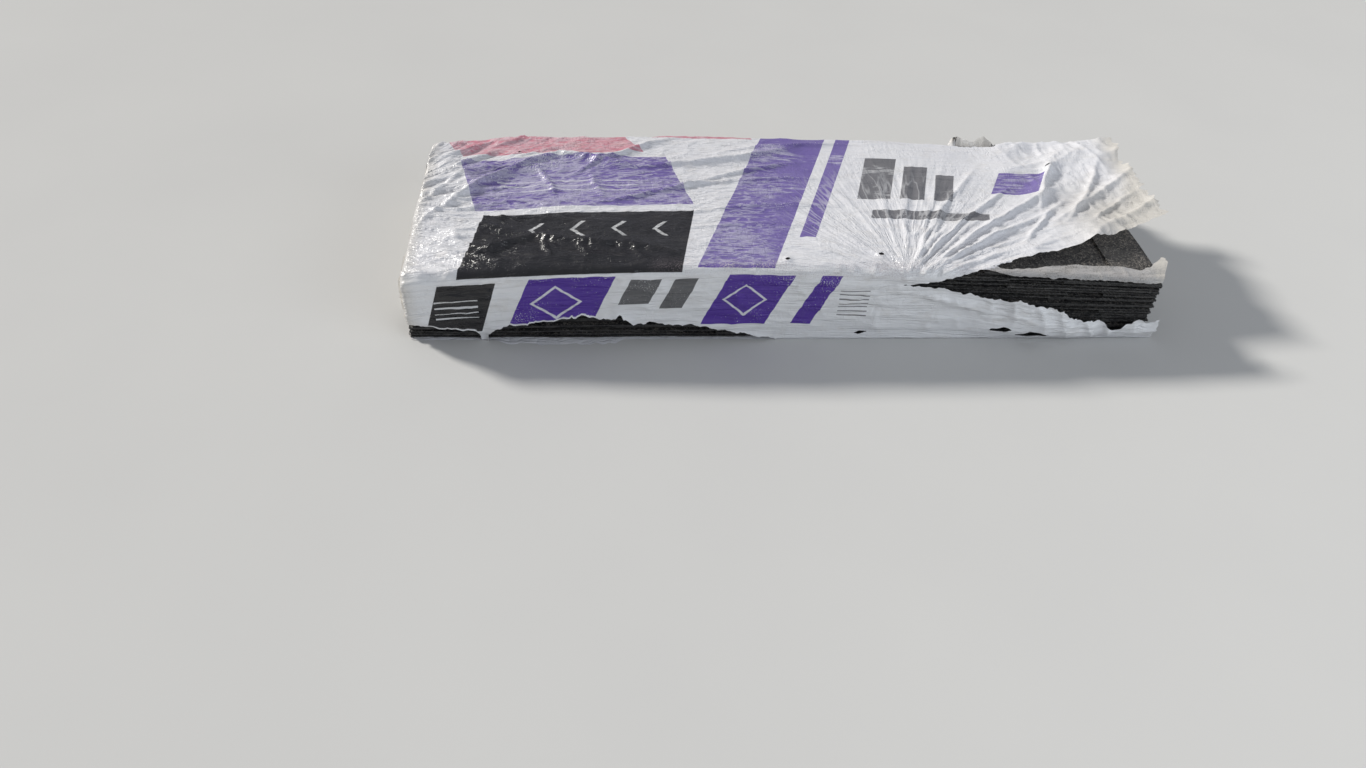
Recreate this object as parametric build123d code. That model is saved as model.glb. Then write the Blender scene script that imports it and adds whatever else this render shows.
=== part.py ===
from build123d import *
import math
import os

# A bundle of laminated asphalt shingles in its torn plastic film wrapper, lying on a level floor.
# Lengths are in millimetres. X runs along the bundle, Y from its front to its back, and Z is up.
# The origin is under the middle of the stack, on the floor, where the film rests.

# One shingle: a full-height sheet with teeth along its exposed edge, bonded to a narrower backing strip
SHINGLE_LENGTH = 1000.0
SHINGLE_HEIGHT = 337.0
PLY = 2.8  # each layer with its granules
NEST_CLEARANCE = 7.0  # between the backing strips of two shingles that lie face to face
BACKING_HEIGHT = (SHINGLE_HEIGHT - NEST_CLEARANCE) / 2
BACKING_LAP = 22.0  # the strip reaches this far past the roots of the teeth
TOOTH_DEPTH = BACKING_HEIGHT - BACKING_LAP
GAP_TAPER = 7.0  # each gap between teeth narrows this much on both sides towards its root
TOOTH_GAPS = [(82.0, 74.0), (318.0, 52.0), (505.0, 88.0), (742.0, 60.0), (905.0, 66.0)]  # start, width
GAP_SHIFT = 37.0  # the cutting pattern starts this much later on each following shingle
END_TOOTH = 20.0  # no gap comes nearer than this to an end of the shingle

# The stack: shingles lie in pairs, one face down and one face up, so that their backing strips nest
PAIRS = 11
COUNT = 2 * PAIRS
PAIR_PITCH = 3 * PLY

# The shingles have taken a bend from lying unevenly, so the upper ones arch a little and stand apart
TOP_ARCH = 22.0
CREST_X = -110.0  # the highest point of the arch, left of the middle
ARCH_OVERRUN = 30.0  # the arch meets its chord this far past each end of the stack

# How far single shingles have slid in the stack
SLIP_X = 1.6
SLIP_Y = 1.4
SLIP_TURN = 2.39  # radians from one shingle's slip to the next, so that neighbours differ
LOOSE_COUNT = 5  # the lowest shingles have slid out towards the torn left corner
LOOSE_SLIDE_X = -5.5
LOOSE_SLIDE_Y = -0.8

# The film wrapper: a sleeve closed at its left end, torn open at its right end and along its front
FILM = 0.8
FILM_EASE_LEFT = 8.0  # between the stack and the closed end
FILM_EASE_SIDE = 4.0
FILM_EASE_TOP = 0.6
FILM_PAST_RIGHT = 15.0  # the open end of the sleeve runs this far past the stack
EDGE_ROUND = 3.0

# The torn edge along the foot of the front: distance from the stack's left end, then height
CORNER_TEAR_LENGTH = 86.0
CORNER_TEAR_HEIGHT = 24.0
CORNER_TEAR_DEPTH = 70.0  # how far it runs round onto the left end
FOOT_TEAR = [
    (94.0, 0.0),
    (105.0, 17.0),
    (120.0, 29.0),
    (170.0, 33.0),
    (197.0, 38.0),
    (220.0, 46.0),
    (241.0, 36.0),
    (272.0, 42.0),
    (289.0, 31.0),
    (346.0, 27.0),
    (396.0, 23.0),
    (417.0, 17.0),
    (438.0, 11.0),
    (470.0, 3.0),
    (484.0, 0.0),
]

# The tear that opens towards the right end: distance from the stack's right end, then height
MOUTH_TIP = (345.0, 76.0)
MOUTH_TOP = 260.0  # where its upper edge reaches the top of the front
MOUTH_LOWER_EDGE = [(282.0, 68.0), (212.0, 57.0), (158.0, 55.0), (112.0, 25.0), (54.0, 14.0)]
MOUTH_END_HEIGHT = 18.0

# The top of the sleeve near its right end: torn free at the front and back, and lifted
FLAP_LENGTH = 210.0  # on the stack
FLAP_OVERHANG = 48.0  # past the stack's right end
FLAP_RISE_FRONT = 14.0  # above the stack's ends
FLAP_RISE_BACK = 36.0
FLAP_FRONT_Y = -55.0  # its front corner at the right end, from the bundle's centre line

# Places that follow from the sizes above
LEFT_END = -SHINGLE_LENGTH / 2
RIGHT_END = SHINGLE_LENGTH / 2
FRONT = -SHINGLE_HEIGHT / 2
BACK = SHINGLE_HEIGHT / 2
STACK_FOOT = FILM
STACK_TOP = STACK_FOOT + PAIRS * PAIR_PITCH
SLEEVE_LEFT = LEFT_END - FILM_EASE_LEFT
SLEEVE_RIGHT = RIGHT_END + FILM_PAST_RIGHT
SLEEVE_TOP = STACK_TOP + FILM_EASE_TOP
SLEEVE_FRONT = FRONT - FILM_EASE_SIDE
SLEEVE_BACK = BACK + FILM_EASE_SIDE
FLAP_ROOT = RIGHT_END - FLAP_LENGTH
FLAP_END = RIGHT_END + FLAP_OVERHANG
CUT_REACH = 2 * (FILM + EDGE_ROUND)  # cutting solids reach this far past the film they cut


def arch_radius(x, arch):
    """Radius of the arch on this side of its crest."""
    foot = LEFT_END - ARCH_OVERRUN if x < CREST_X else RIGHT_END + ARCH_OVERRUN
    span = foot - CREST_X
    return (span**2 + arch**2) / (2 * arch)


def arch_height(x, arch):
    """Height above the chord, at x, of a line that arches by this much and is level at the crest."""
    if arch == 0:
        return 0.0
    radius = arch_radius(x, arch)
    return arch - radius + math.sqrt(radius**2 - (x - CREST_X) ** 2)


def arched_line(height, arch, start, end):
    """The edges of one arched line from start to end: an arc on each side of the crest."""
    if arch == 0:
        return [Line((start, 0, height), (end, 0, height))]
    stretches = [(start, CREST_X), (CREST_X, end)] if start < CREST_X < end else [(start, end)]
    edges = []
    for a, b in stretches:
        places = [(x, 0, height + arch_height(x, arch)) for x in (a, (a + b) / 2, b)]
        edges.append(ThreePointArc(*places))
    return edges


def arched_slab(low, high, arch_low, arch_high, start, end, front, back):
    """A solid between two arched lines, as deep as from front to back."""
    below = arched_line(low, arch_low, start, end)
    above = arched_line(high, arch_high, start, end)
    left_side = Line(below[0] @ 0, above[0] @ 0)
    right_side = Line(below[-1] @ 1, above[-1] @ 1)
    outline = Wire([*below, *above, left_side, right_side])
    return Pos(0, front, 0) * extrude(Face(outline), amount=back - front, dir=(0, 1, 0))


def gap_starts(number):
    """Where the gaps between this shingle's teeth start, from its left end, with their widths."""
    shifted = [((start + GAP_SHIFT * number) % SHINGLE_LENGTH, width) for start, width in TOOTH_GAPS]
    return [
        (start, width)
        for start, width in shifted
        if END_TOOTH < start and start + width < SHINGLE_LENGTH - END_TOOTH
    ]


def gap_cutter(start, width, edge_y, root_y, low, high):
    """The solid that cuts one gap between two teeth, from the exposed edge to its root."""
    outside_y = edge_y + math.copysign(CUT_REACH, edge_y - root_y)
    plan = Polyline(
        (start, outside_y, low),
        (start, edge_y, low),
        (start + GAP_TAPER, root_y, low),
        (start + width - GAP_TAPER, root_y, low),
        (start + width, edge_y, low),
        (start + width, outside_y, low),
        close=True,
    )
    return extrude(make_face(plan), amount=high - low, dir=(0, 0, 1))


def shingle(number):
    """One laminated shingle of the stack, counted from 0 at the bottom. Even ones lie face down."""
    face_up = number % 2 == 1
    arch = TOP_ARCH * number / (COUNT - 1)
    low = STACK_FOOT + (number // 2) * PAIR_PITCH + (PLY if face_up else 0)
    loose = number < LOOSE_COUNT
    slip_x = SLIP_X * math.sin(SLIP_TURN * number) + (LOOSE_SLIDE_X if loose else 0)
    slip_y = SLIP_Y * math.cos(SLIP_TURN * number) + (LOOSE_SLIDE_Y if loose else 0)
    start = LEFT_END + slip_x
    end = RIGHT_END + slip_x
    front = FRONT + slip_y
    back = BACK + slip_y
    full_low = low + PLY if face_up else low
    backing_low = low if face_up else low + PLY

    full_ply = arched_slab(full_low, full_low + PLY, arch, arch, start, end, front, back)
    exposed_edge = front if face_up else back
    tooth_root = front + TOOTH_DEPTH if face_up else back - TOOTH_DEPTH
    for gap_start, width in gap_starts(number):
        full_ply -= gap_cutter(
            start + gap_start,
            width,
            exposed_edge,
            tooth_root,
            full_low - PLY,
            full_low + 2 * PLY + TOP_ARCH,
        )
    if face_up:
        backing_span = (front, front + BACKING_HEIGHT)
    else:
        backing_span = (back - BACKING_HEIGHT, back)
    backing = arched_slab(backing_low, backing_low + PLY, arch, arch, start, end, *backing_span)
    return full_ply + backing


def sleeve_form(grow, end):
    """The space that the film encloses, grown by this much at its closed sides and open at its end."""
    form = arched_slab(
        STACK_FOOT - grow,
        SLEEVE_TOP + grow,
        0,
        TOP_ARCH,
        SLEEVE_LEFT - grow,
        end,
        SLEEVE_FRONT - grow,
        SLEEVE_BACK + grow,
    )
    top_edges = form.faces().filter_by(Axis.Y).edges().filter_by(GeomType.CIRCLE)
    left_edges = form.faces().sort_by(Axis.X)[0].edges().filter_by(Axis.Z)
    return fillet([*top_edges, *left_edges], EDGE_ROUND + grow)


def front_cutter(points):
    """Cuts an outline through the front film, given by its places along the bundle and its heights."""
    places = [(x, SLEEVE_FRONT - CUT_REACH, STACK_FOOT + z) for x, z in points]
    depth = CUT_REACH + FILM_EASE_SIDE / 2
    return extrude(make_face(Polyline(*places, close=True)), amount=depth, dir=(0, 1, 0))


def foot_tear():
    """The ragged hole along the foot of the front, down to the fold onto the underside."""
    return front_cutter([(LEFT_END + distance, height) for distance, height in FOOT_TEAR])


def corner_tear():
    """The hole at the foot of the left front corner, which runs round onto the closed end."""
    before = SLEEVE_LEFT - CUT_REACH
    on_front = front_cutter(
        [
            (before, 0),
            (LEFT_END + CORNER_TEAR_LENGTH, 0),
            (LEFT_END, CORNER_TEAR_HEIGHT),
            (before, CORNER_TEAR_HEIGHT),
        ]
    )
    end_outline = Polyline(
        (before, SLEEVE_FRONT - CUT_REACH, STACK_FOOT),
        (before, FRONT + CORNER_TEAR_DEPTH, STACK_FOOT),
        (before, FRONT, STACK_FOOT + CORNER_TEAR_HEIGHT),
        (before, SLEEVE_FRONT - CUT_REACH, STACK_FOOT + CORNER_TEAR_HEIGHT),
        close=True,
    )
    on_end = extrude(make_face(end_outline), amount=CUT_REACH + FILM_EASE_LEFT / 2, dir=(1, 0, 0))
    return on_front + on_end


def mouth_tear():
    """The long tear that opens towards the right end of the front."""
    past_end = SLEEVE_RIGHT + CUT_REACH
    above = SLEEVE_TOP + TOP_ARCH + CUT_REACH
    lower_edge = [(RIGHT_END - distance, height) for distance, height in (MOUTH_TIP, *MOUTH_LOWER_EDGE)]
    return front_cutter(
        [
            *lower_edge,
            (past_end, MOUTH_END_HEIGHT),
            (past_end, above),
            (RIGHT_END - MOUTH_TOP, above),
        ]
    )


def top_opening():
    """What the sleeve's top and its rounded edges lose where the flap has lifted off the stack."""
    tear_start = RIGHT_END - MOUTH_TOP
    lowest = SLEEVE_TOP - EDGE_ROUND
    highest = SLEEVE_TOP + CUT_REACH
    far = SLEEVE_RIGHT + CUT_REACH
    front = SLEEVE_FRONT - CUT_REACH
    back = SLEEVE_BACK + CUT_REACH
    over_top = arched_slab(lowest, highest, TOP_ARCH, TOP_ARCH, FLAP_ROOT, far, front, back)
    front_corner = Polyline(
        (tear_start, front, lowest),
        (tear_start, SLEEVE_FRONT, lowest),
        (FLAP_ROOT, FRONT, lowest),
        (FLAP_ROOT, front, lowest),
        close=True,
    )
    return over_top + extrude(make_face(front_corner), amount=TOP_ARCH + CUT_REACH, dir=(0, 0, 1))


def flap_profile(y, rise):
    """The flap's section at one depth: it leaves the arch smoothly and curls up towards the right."""
    root_height = SLEEVE_TOP + arch_height(FLAP_ROOT, TOP_ARCH)
    slope = -(FLAP_ROOT - CREST_X) / arch_radius(FLAP_ROOT, TOP_ARCH)
    tip = (FLAP_END, y, SLEEVE_TOP + rise)
    lower = TangentArc((FLAP_ROOT, y, root_height), tip, tangent=(1, 0, slope))
    upper = Pos(0, 0, FILM) * lower
    return Face(Wire([lower, upper, Line(lower @ 0, upper @ 0), Line(lower @ 1, upper @ 1)]))


def lifted_flap():
    """The top film past the tear, higher at the back, with its front corner torn off."""
    front_profile = flap_profile(SLEEVE_FRONT, FLAP_RISE_FRONT)
    back_profile = flap_profile(SLEEVE_BACK, FLAP_RISE_BACK)
    flap = loft([front_profile, back_profile], ruled=True)
    torn_off = Polyline(
        (RIGHT_END - MOUTH_TOP, SLEEVE_FRONT - CUT_REACH, 0),
        (FLAP_ROOT, FRONT, 0),
        (FLAP_END, FLAP_FRONT_Y, 0),
        (FLAP_END + CUT_REACH, FLAP_FRONT_Y, 0),
        (FLAP_END + CUT_REACH, SLEEVE_FRONT - CUT_REACH, 0),
        close=True,
    )
    reach = SLEEVE_TOP + TOP_ARCH + FLAP_RISE_BACK
    return flap - extrude(make_face(torn_off), amount=reach, dir=(0, 0, 1))


def wrapper():
    """The film sleeve with its tears and its lifted flap, as one piece."""
    film = sleeve_form(FILM, SLEEVE_RIGHT) - sleeve_form(0, SLEEVE_RIGHT + CUT_REACH)
    for tear in (foot_tear(), corner_tear(), mouth_tear(), top_opening()):
        film -= tear
    return film + lifted_flap()


def save(shape, name):
    """Writes one piece as parts/NAME.step."""
    shape.label = name
    export_step(shape, f"parts/{name}.step")


os.makedirs("parts", exist_ok=True)
for number in range(COUNT):
    save(shingle(number), f"shingle_{number + 1:02d}")
save(wrapper(), "wrapper")
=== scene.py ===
import math

import bpy
import numpy as np
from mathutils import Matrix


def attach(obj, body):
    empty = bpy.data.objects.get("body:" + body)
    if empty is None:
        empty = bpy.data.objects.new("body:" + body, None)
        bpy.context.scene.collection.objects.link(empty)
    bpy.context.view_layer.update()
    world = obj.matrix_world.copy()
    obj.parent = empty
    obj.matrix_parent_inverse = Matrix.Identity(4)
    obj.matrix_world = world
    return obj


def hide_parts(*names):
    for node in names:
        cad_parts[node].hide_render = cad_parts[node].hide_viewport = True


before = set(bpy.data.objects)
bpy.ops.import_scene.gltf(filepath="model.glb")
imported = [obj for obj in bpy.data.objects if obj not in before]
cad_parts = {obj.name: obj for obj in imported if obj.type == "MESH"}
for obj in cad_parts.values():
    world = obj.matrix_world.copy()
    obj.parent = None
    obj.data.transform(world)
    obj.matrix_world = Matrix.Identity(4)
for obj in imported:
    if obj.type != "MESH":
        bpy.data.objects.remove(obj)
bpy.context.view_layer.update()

# Shingles. Each is a full-height sheet of asphalt covered with mineral granules, with teeth along its
# exposed edge, bonded to a narrower backing strip. They lie in pairs, one face down and one face up, so
# that the strips nest, and they have kept a small arch from lying unevenly.
LENGTH, HEIGHT, PLY = 1.0, 0.337, 0.0028
BACKING_HEIGHT, TOOTH_DEPTH = 0.165, 0.143
TOOTH_GAPS = [(0.082, 0.074), (0.318, 0.052), (0.505, 0.088), (0.742, 0.060), (0.905, 0.066)]
GAP_SHIFT, END_TOOTH = 0.037, 0.020
HAIR = 0.001  # a cut runs this far past an edge, and an edge is found this near to its line
COUNT, LOOSE_COUNT = 22, 5
FOOT = 0.0008  # the film lies under the lowest sheet
TOP_ARCH, CREST_X, ARCH_REACH = 0.022, -0.110, 0.530  # its height, its crest and where it ends
AIR = 0.0005  # a sheet is this much thinner than its layer in the stack
CELL = 0.005  # along the sheet
ROWS = [0.0015, 0.0035, 0.006, 0.012, 0.022, 0.040, 0.058, 0.022, 0.007, 0.022, 0.058, 0.040, 0.022,
        0.012, 0.006, 0.0035, 0.0015]
STRIP_ROWS = 8
SIDE_STRAY = [(0.045, 0.0011), (0.006, 0.0005)]  # the step and reach of each wave on a cut edge
END_STRAY = [(0.05, 0.0012), (0.008, 0.0005)]
SIDE_BAND, END_BAND = 0.008, 0.002  # how far in from an edge its cells stray with it
STRIP_INSET = 0.0026
SLIP_X, SLIP_Y, SLIP_TURN = 0.0016, 0.0014, 2.39  # how far sheets have slid, each its own way
LOOSE_SLIDE_X, LOOSE_SLIDE_Y = 0.0055, 0.0008
CUT_BAND = 0.0017  # the dusty cut edge shows this far in


def arch(x):
    """How high the uppermost sheet stands above its ends, two arcs that meet level at the crest."""
    span = np.where(x < CREST_X, -ARCH_REACH, ARCH_REACH) - CREST_X
    radius = (span**2 + TOP_ARCH**2) / (2 * TOP_ARCH)
    return TOP_ARCH - radius + np.sqrt(radius**2 - (x - CREST_X) ** 2)


def wander(seed, along, step, reach):
    """A line that strays at random, with a knot at every step, by up to reach each way."""
    knots = np.arange(-1.2, 1.2, step)
    return np.interp(along, knots, np.random.default_rng(seed).uniform(-reach, reach, len(knots)))


def waves(seed, side, along, stray):
    """How far one cut edge of a sheet strays: the sum of its waves."""
    return sum(wander((seed, side, k), along, step, reach) for k, (step, reach) in enumerate(stray))


def sheet_of_cells(name, depths, missing=()):
    """A flat sheet drawn out row by row from its front edge, with the cells of its gaps removed."""
    bpy.ops.object.select_all(action="DESELECT")
    cells = round(LENGTH / CELL)
    bpy.ops.mesh.primitive_grid_add(x_subdivisions=cells, y_subdivisions=1, size=1, location=(0, 0, 0))
    made = bpy.context.object
    made.name = name
    made.data.name = name
    bpy.ops.object.mode_set(mode="EDIT")
    bpy.ops.transform.resize(value=(LENGTH, depths[0], 1))
    bpy.ops.transform.translate(value=(0, depths[0] / 2, 0))
    bpy.ops.object.mode_set(mode="OBJECT")
    reached = depths[0]
    for depth in depths[1:]:
        for part in (made.data.polygons, made.data.edges, made.data.vertices):
            part.foreach_set("select", [False] * len(part))
        for vertex in made.data.vertices:
            vertex.select = vertex.co.y > reached - 1e-5
        bpy.ops.object.mode_set(mode="EDIT")
        bpy.ops.mesh.select_mode(type="VERT")
        bpy.ops.mesh.extrude_region_move(TRANSFORM_OT_translate={"value": (0, depth, 0)})
        bpy.ops.object.mode_set(mode="OBJECT")
        reached += depth
    if missing:
        bpy.ops.object.mode_set(mode="EDIT")
        bpy.ops.mesh.select_mode(type="FACE")
        bpy.ops.mesh.select_all(action="DESELECT")
        bpy.ops.object.mode_set(mode="OBJECT")
        for face in made.data.polygons:
            x, y = face.center.x, face.center.y
            face.select = any(a < x < b and c < y < d for a, b, c, d in missing)
        bpy.ops.object.mode_set(mode="EDIT")
        bpy.ops.mesh.delete(type="FACE")
        bpy.ops.object.mode_set(mode="OBJECT")
    return made


def thicken(piece, thickness):
    """Gives a sheet its thickness, upwards from its underside."""
    wall = piece.modifiers.new("thickness", "SOLIDIFY")
    wall.thickness = thickness
    wall.offset = 1
    bpy.context.view_layer.objects.active = piece
    bpy.ops.object.modifier_apply(modifier=wall.name)


def places_of(piece):
    """The places of a mesh's vertices, as rows of x, y and z."""
    flat = np.empty(len(piece.data.vertices) * 3)
    piece.data.vertices.foreach_get("co", flat)
    return flat.reshape(-1, 3)


def gaps_of(number):
    """The gaps between one shingle's teeth, along it and across it."""
    for start, width in TOOTH_GAPS:
        left = (start + GAP_SHIFT * number) % LENGTH
        if END_TOOTH < left and left + width < LENGTH - END_TOOTH:
            across = (HEIGHT - TOOTH_DEPTH, HEIGHT + HAIR)
            if number % 2:
                across = (-HAIR, TOOTH_DEPTH)
            yield (left - LENGTH / 2, left + width - LENGTH / 2, *across)


shingles = []
for number in range(COUNT):
    face_up = number % 2 == 1
    full = sheet_of_cells(f"laminated_shingle_{number + 1:02d}", ROWS, list(gaps_of(number)))
    strip_rows = ROWS[:STRIP_ROWS] if face_up else ROWS[-STRIP_ROWS:]
    strip = sheet_of_cells(f"backing_{number + 1:02d}", strip_rows)
    for piece, level in ((full, face_up), (strip, not face_up)):
        thicken(piece, PLY - AIR)
        at = places_of(piece)
        if piece is strip and not face_up:
            at[:, 1] += HEIGHT - sum(strip_rows)
        seed = 10 * number + (1 if level else 0)
        at[:, 2] += PLY * level
        across = at[:, 1].copy()
        for side, edge in enumerate((0.0, HEIGHT, BACKING_HEIGHT, HEIGHT - BACKING_HEIGHT)):
            near = np.clip(1 - np.abs(across - edge) / SIDE_BAND, 0, 1)
            at[:, 1] += near * waves(seed, side, at[:, 0], SIDE_STRAY)
        for side, edge in ((4, -LENGTH / 2), (5, LENGTH / 2)):
            near = np.abs(at[:, 0] - edge) < END_BAND
            at[:, 0] += near * waves(seed, side, across, END_STRAY)
        if piece is strip:
            at_front, at_back = across < HAIR, across > HEIGHT - HAIR
            at[:, 1] += STRIP_INSET * (at_front * 1.0 - at_back * 1.0)
        piece.data.vertices.foreach_set("co", at.ravel())
        front_edge = 0 if piece is full or face_up else HEIGHT
        back_edge = HEIGHT if piece is full or not face_up else BACKING_HEIGHT
        cut = np.minimum(np.abs(across - front_edge), np.abs(np.abs(at[:, 0]) - LENGTH / 2))
        cut = np.minimum(cut, np.abs(across - back_edge))
        layer = piece.data.attributes.new("edge", "FLOAT", "POINT")
        layer.data.foreach_set("value", np.clip(1 - cut / CUT_BAND, 0, 1))
    bpy.ops.object.select_all(action="DESELECT")
    strip.select_set(True)
    full.select_set(True)
    bpy.context.view_layer.objects.active = full
    bpy.ops.object.join()
    loose = number < LOOSE_COUNT
    turn = SLIP_TURN * number
    at = places_of(full)
    at[:, 0] += SLIP_X * math.sin(turn) - LOOSE_SLIDE_X * loose
    at[:, 1] += SLIP_Y * math.cos(turn) - LOOSE_SLIDE_Y * loose - HEIGHT / 2
    at[:, 2] += FOOT + (number // 2) * 3 * PLY + PLY * face_up
    at[:, 2] += arch(at[:, 0]) * number / (COUNT - 1)
    full.data.vertices.foreach_set("co", at.ravel())
    full.data.update()
    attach(full, "root")
    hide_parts(f"shingle_{number + 1:02d}")
    shingles.append(full)


class Shade:
    """A value or colour in a material. Sums and products of values add the Math nodes they need."""

    def __init__(self, tree, socket):
        self.tree = tree
        self.socket = socket

    @classmethod
    def node(cls, tree, kind, settings=None, inputs=None, out=0):
        """Adds one node: its settings are set first, and then the values or links of its sockets."""
        made = tree.nodes.new(kind)
        for name, value in (settings or {}).items():
            if name == "stops":
                ramp = made.color_ramp
                while len(ramp.elements) < len(value):
                    ramp.elements.new(0.5)
                for element, (place, colour) in zip(ramp.elements, value):
                    element.position = place
                    element.color = colour
            else:
                setattr(made, name, value)
        for name, value in (inputs or {}).items():
            if isinstance(value, Shade):
                tree.links.new(value.socket, made.inputs[name])
            else:
                made.inputs[name].default_value = value
        return cls(tree, made.outputs[out])

    def math(self, operation, *others, first=False):
        values = [*others, self] if first else [self, *others]
        inputs = dict(enumerate(values))
        return Shade.node(self.tree, "ShaderNodeMath", {"operation": operation}, inputs)

    def __add__(self, other):
        return self.math("ADD", other)

    def __radd__(self, other):
        return self.math("ADD", other)

    def __sub__(self, other):
        return self.math("SUBTRACT", other)

    def __rsub__(self, other):
        return self.math("SUBTRACT", other, first=True)

    def __mul__(self, other):
        return self.math("MULTIPLY", other)

    def __rmul__(self, other):
        return self.math("MULTIPLY", other)

    def __truediv__(self, other):
        return self.math("DIVIDE", other)

    def __abs__(self):
        return self.math("ABSOLUTE")

    def least(self, other):
        return self.math("MINIMUM", other)

    def most(self, other):
        return self.math("MAXIMUM", other)

    def above(self, edge, soft=0.0004):
        """1 where this is above the edge and 0 where it is below, with a soft step between."""
        settings = {"interpolation_type": "SMOOTHSTEP"}
        inputs = {0: self, 1: edge - soft, 2: edge + soft}
        return Shade.node(self.tree, "ShaderNodeMapRange", settings, inputs)

    def below(self, edge, soft=0.0004):
        return 1 - self.above(edge, soft)

    def between(self, low, high, soft=0.0004):
        return self.above(low, soft) * self.below(high, soft)


class Finish:
    """A material that reads one kind of coordinate and ends in one Principled shader."""

    def __init__(self, name, coordinate="Object"):
        self.material = bpy.data.materials.new(name)
        self.material.use_nodes = True
        self.tree = self.material.node_tree
        self.principled = self.tree.nodes["Principled BSDF"]
        self.end = self.tree.nodes["Material Output"]
        self.coordinate = self.add("ShaderNodeTexCoord", out=coordinate)

    def add(self, kind, settings=None, inputs=None, out=0):
        return Shade.node(self.tree, kind, settings, inputs, out)

    def attribute(self, name):
        """A number that is stored for each vertex of the piece."""
        return self.add("ShaderNodeAttribute", {"attribute_name": name}, out="Fac")

    def stretched(self, scale, turn=0.0, shift=(0, 0, 0)):
        """The coordinate scaled along each axis, and turned about the third."""
        inputs = {"Vector": self.coordinate, "Scale": scale, "Rotation": (0, 0, turn), "Location": shift}
        return self.add("ShaderNodeMapping", inputs=inputs)

    def noise(self, where, scale, detail=3, rough=0.5, warp=0.0):
        inputs = {"Vector": where, "Scale": scale, "Detail": detail, "Roughness": rough, "Distortion": warp}
        return self.add("ShaderNodeTexNoise", inputs=inputs)

    def mix(self, share, under, over):
        """Two colours mixed, the second by this share."""
        inputs = {"Factor": share, 6: under, 7: over}
        return self.add("ShaderNodeMix", {"data_type": "RGBA"}, inputs, out=2)

    def bump(self, height):
        """Relief of this height in metres."""
        return self.add("ShaderNodeBump", inputs={"Height": height, "Distance": 1.0, "Strength": 1.0})

    def set(self, **sockets):
        """Sets or links the Principled shader's sockets, with _ for the spaces in their names."""
        for name, value in sockets.items():
            socket = self.principled.inputs[name.replace("_", " ")]
            if isinstance(value, Shade):
                self.tree.links.new(value.socket, socket)
            else:
                socket.default_value = value


# Granules: crushed mineral pressed into asphalt, near black with a few paler and browner grains, dusty
# in patches. The cut edges are bare asphalt, scuffed where handling has rubbed them.
GRAIN_TINTS = [(0.0, (0.008, 0.008, 0.009, 1)), (0.50, (0.020, 0.020, 0.022, 1)),
               (0.72, (0.055, 0.053, 0.053, 1)), (0.88, (0.170, 0.155, 0.140, 1))]
DUST, BARE_ASPHALT, SCUFF = (0.19, 0.175, 0.16, 1), (0.009, 0.009, 0.010, 1), (0.11, 0.107, 0.103, 1)
granules = Finish("granules_on_asphalt")
grains = {"Vector": granules.coordinate, "Scale": 520.0}
grain_cells = granules.add("ShaderNodeTexVoronoi", {"feature": "F1"}, grains)
grain_colour = granules.add("ShaderNodeTexVoronoi", {"feature": "F1"}, grains, out="Color")
grain_pick = granules.add("ShaderNodeSeparateColor", inputs={"Color": grain_colour})
grain_tint = granules.add("ShaderNodeValToRGB", {"stops": GRAIN_TINTS}, {"Fac": grain_pick})
dust_patches = granules.noise(granules.stretched((14, 30, 60)), 1.0, 4, 0.6)
granule_colour = granules.mix(dust_patches.above(0.56, 0.10) * 0.30, grain_tint, DUST)
cut_edge = granules.attribute("edge")
granule_colour = granules.mix(cut_edge * 0.85, granule_colour, BARE_ASPHALT)
scuffed = granules.noise(granules.stretched((60, 60, 260)), 1.0, 4, 0.6).above(0.57, 0.12)
granule_colour = granules.mix(cut_edge * scuffed * 0.5, granule_colour, SCUFF)
rough_stone = granules.noise(granules.coordinate, 320.0, 4, 0.65)
granule_bump = granules.bump((0.6 - grain_cells) * 0.0013 + rough_stone * 0.0008)
granules.set(Base_Color=granule_colour, Roughness=0.50, Normal=granule_bump)
for piece in shingles:
    piece.data.materials.clear()
    piece.data.materials.append(granules.material)

# Film wrapper. A printed white plastic film is drawn round the stack as a sleeve and folded shut at its
# left end. It has torn along the foot of its front and at its front left corner. A long tear opens it
# towards the right end, where the film on top has lifted as a flap. It is creased all over.
HALF, FILM_TOP, ROUND = 0.1725, 0.0946, 0.008  # half its depth, its height, the round of its edges
SLEEVE_LEFT, SLEEVE_RIGHT = -0.5085, 0.515
END_ROUND, SEAM_HEIGHT, SEAM_TUCK = 0.009, 0.050, 0.30  # of the end that is folded shut
FLAP_ROOT, FLAP_END, FLAP_RISE_FRONT, FLAP_RISE_BACK = 0.290, 0.548, 0.014, 0.036
OVER_FLOOR = 0.0006
ARC = ROUND * math.pi / 2
FLAT_TOP = 2 * HALF - 2 * ROUND
BACK_RIDGE = FLAT_TOP + 1.5 * ARC


def film_top(x):
    """Height of the film over the stack."""
    return FILM_TOP + arch(np.clip(x, -LENGTH / 2, LENGTH / 2))


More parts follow.
